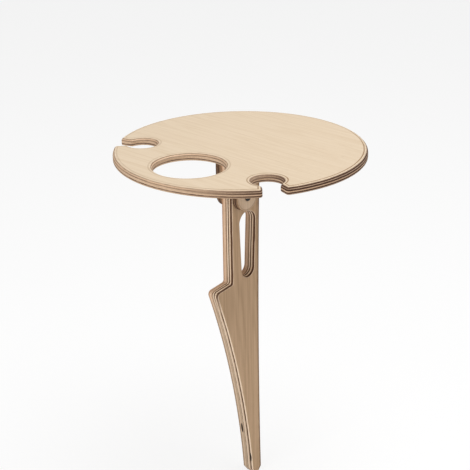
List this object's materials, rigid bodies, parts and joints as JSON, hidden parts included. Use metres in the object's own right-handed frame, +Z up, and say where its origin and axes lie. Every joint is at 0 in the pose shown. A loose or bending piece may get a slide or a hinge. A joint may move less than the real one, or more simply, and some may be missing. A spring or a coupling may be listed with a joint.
{
  "type": "wine bottle and glass holder",
  "caption": "Plywood picnic table on a folding stake, with a round top that holds a leaning bottle in a hole and stemmed glasses in keyhole notches at its rim.",
  "frame": {"origin": "centre of the round top's upper face", "axes": "+Z up, square to the top; the bottle hole lies towards -Y; the leg board lies in the plane X = 0 and the pivot bolt runs along X"},
  "size_m": [0.3, 0.3, 0.4487],
  "materials": {
    "plywood_top": "sanded pale birch plywood, thinly oiled",
    "plywood_leg": "sanded birch plywood with an upright grain",
    "black_steel": "black oxide bolt",
    "zinc_steel": "zinc plated washer and nut"
  },
  "bodies": {
    "stake": {"leg": "plywood_leg"},
    "table": {"tabletop": "plywood_top", "cheek_right": "plywood_leg", "cheek_left": "plywood_leg", "pivot_bolt": "black_steel", "washer": "zinc_steel", "lock_nut": "zinc_steel"}
  },
  "joints": [
    {"name": "top_fold", "type": "hinge", "parent": "stake", "child": "table", "pos_m": [0, -0.0075, -0.0565], "axis": [1, 0, 0], "range_deg": [0, 90]}
  ]
}
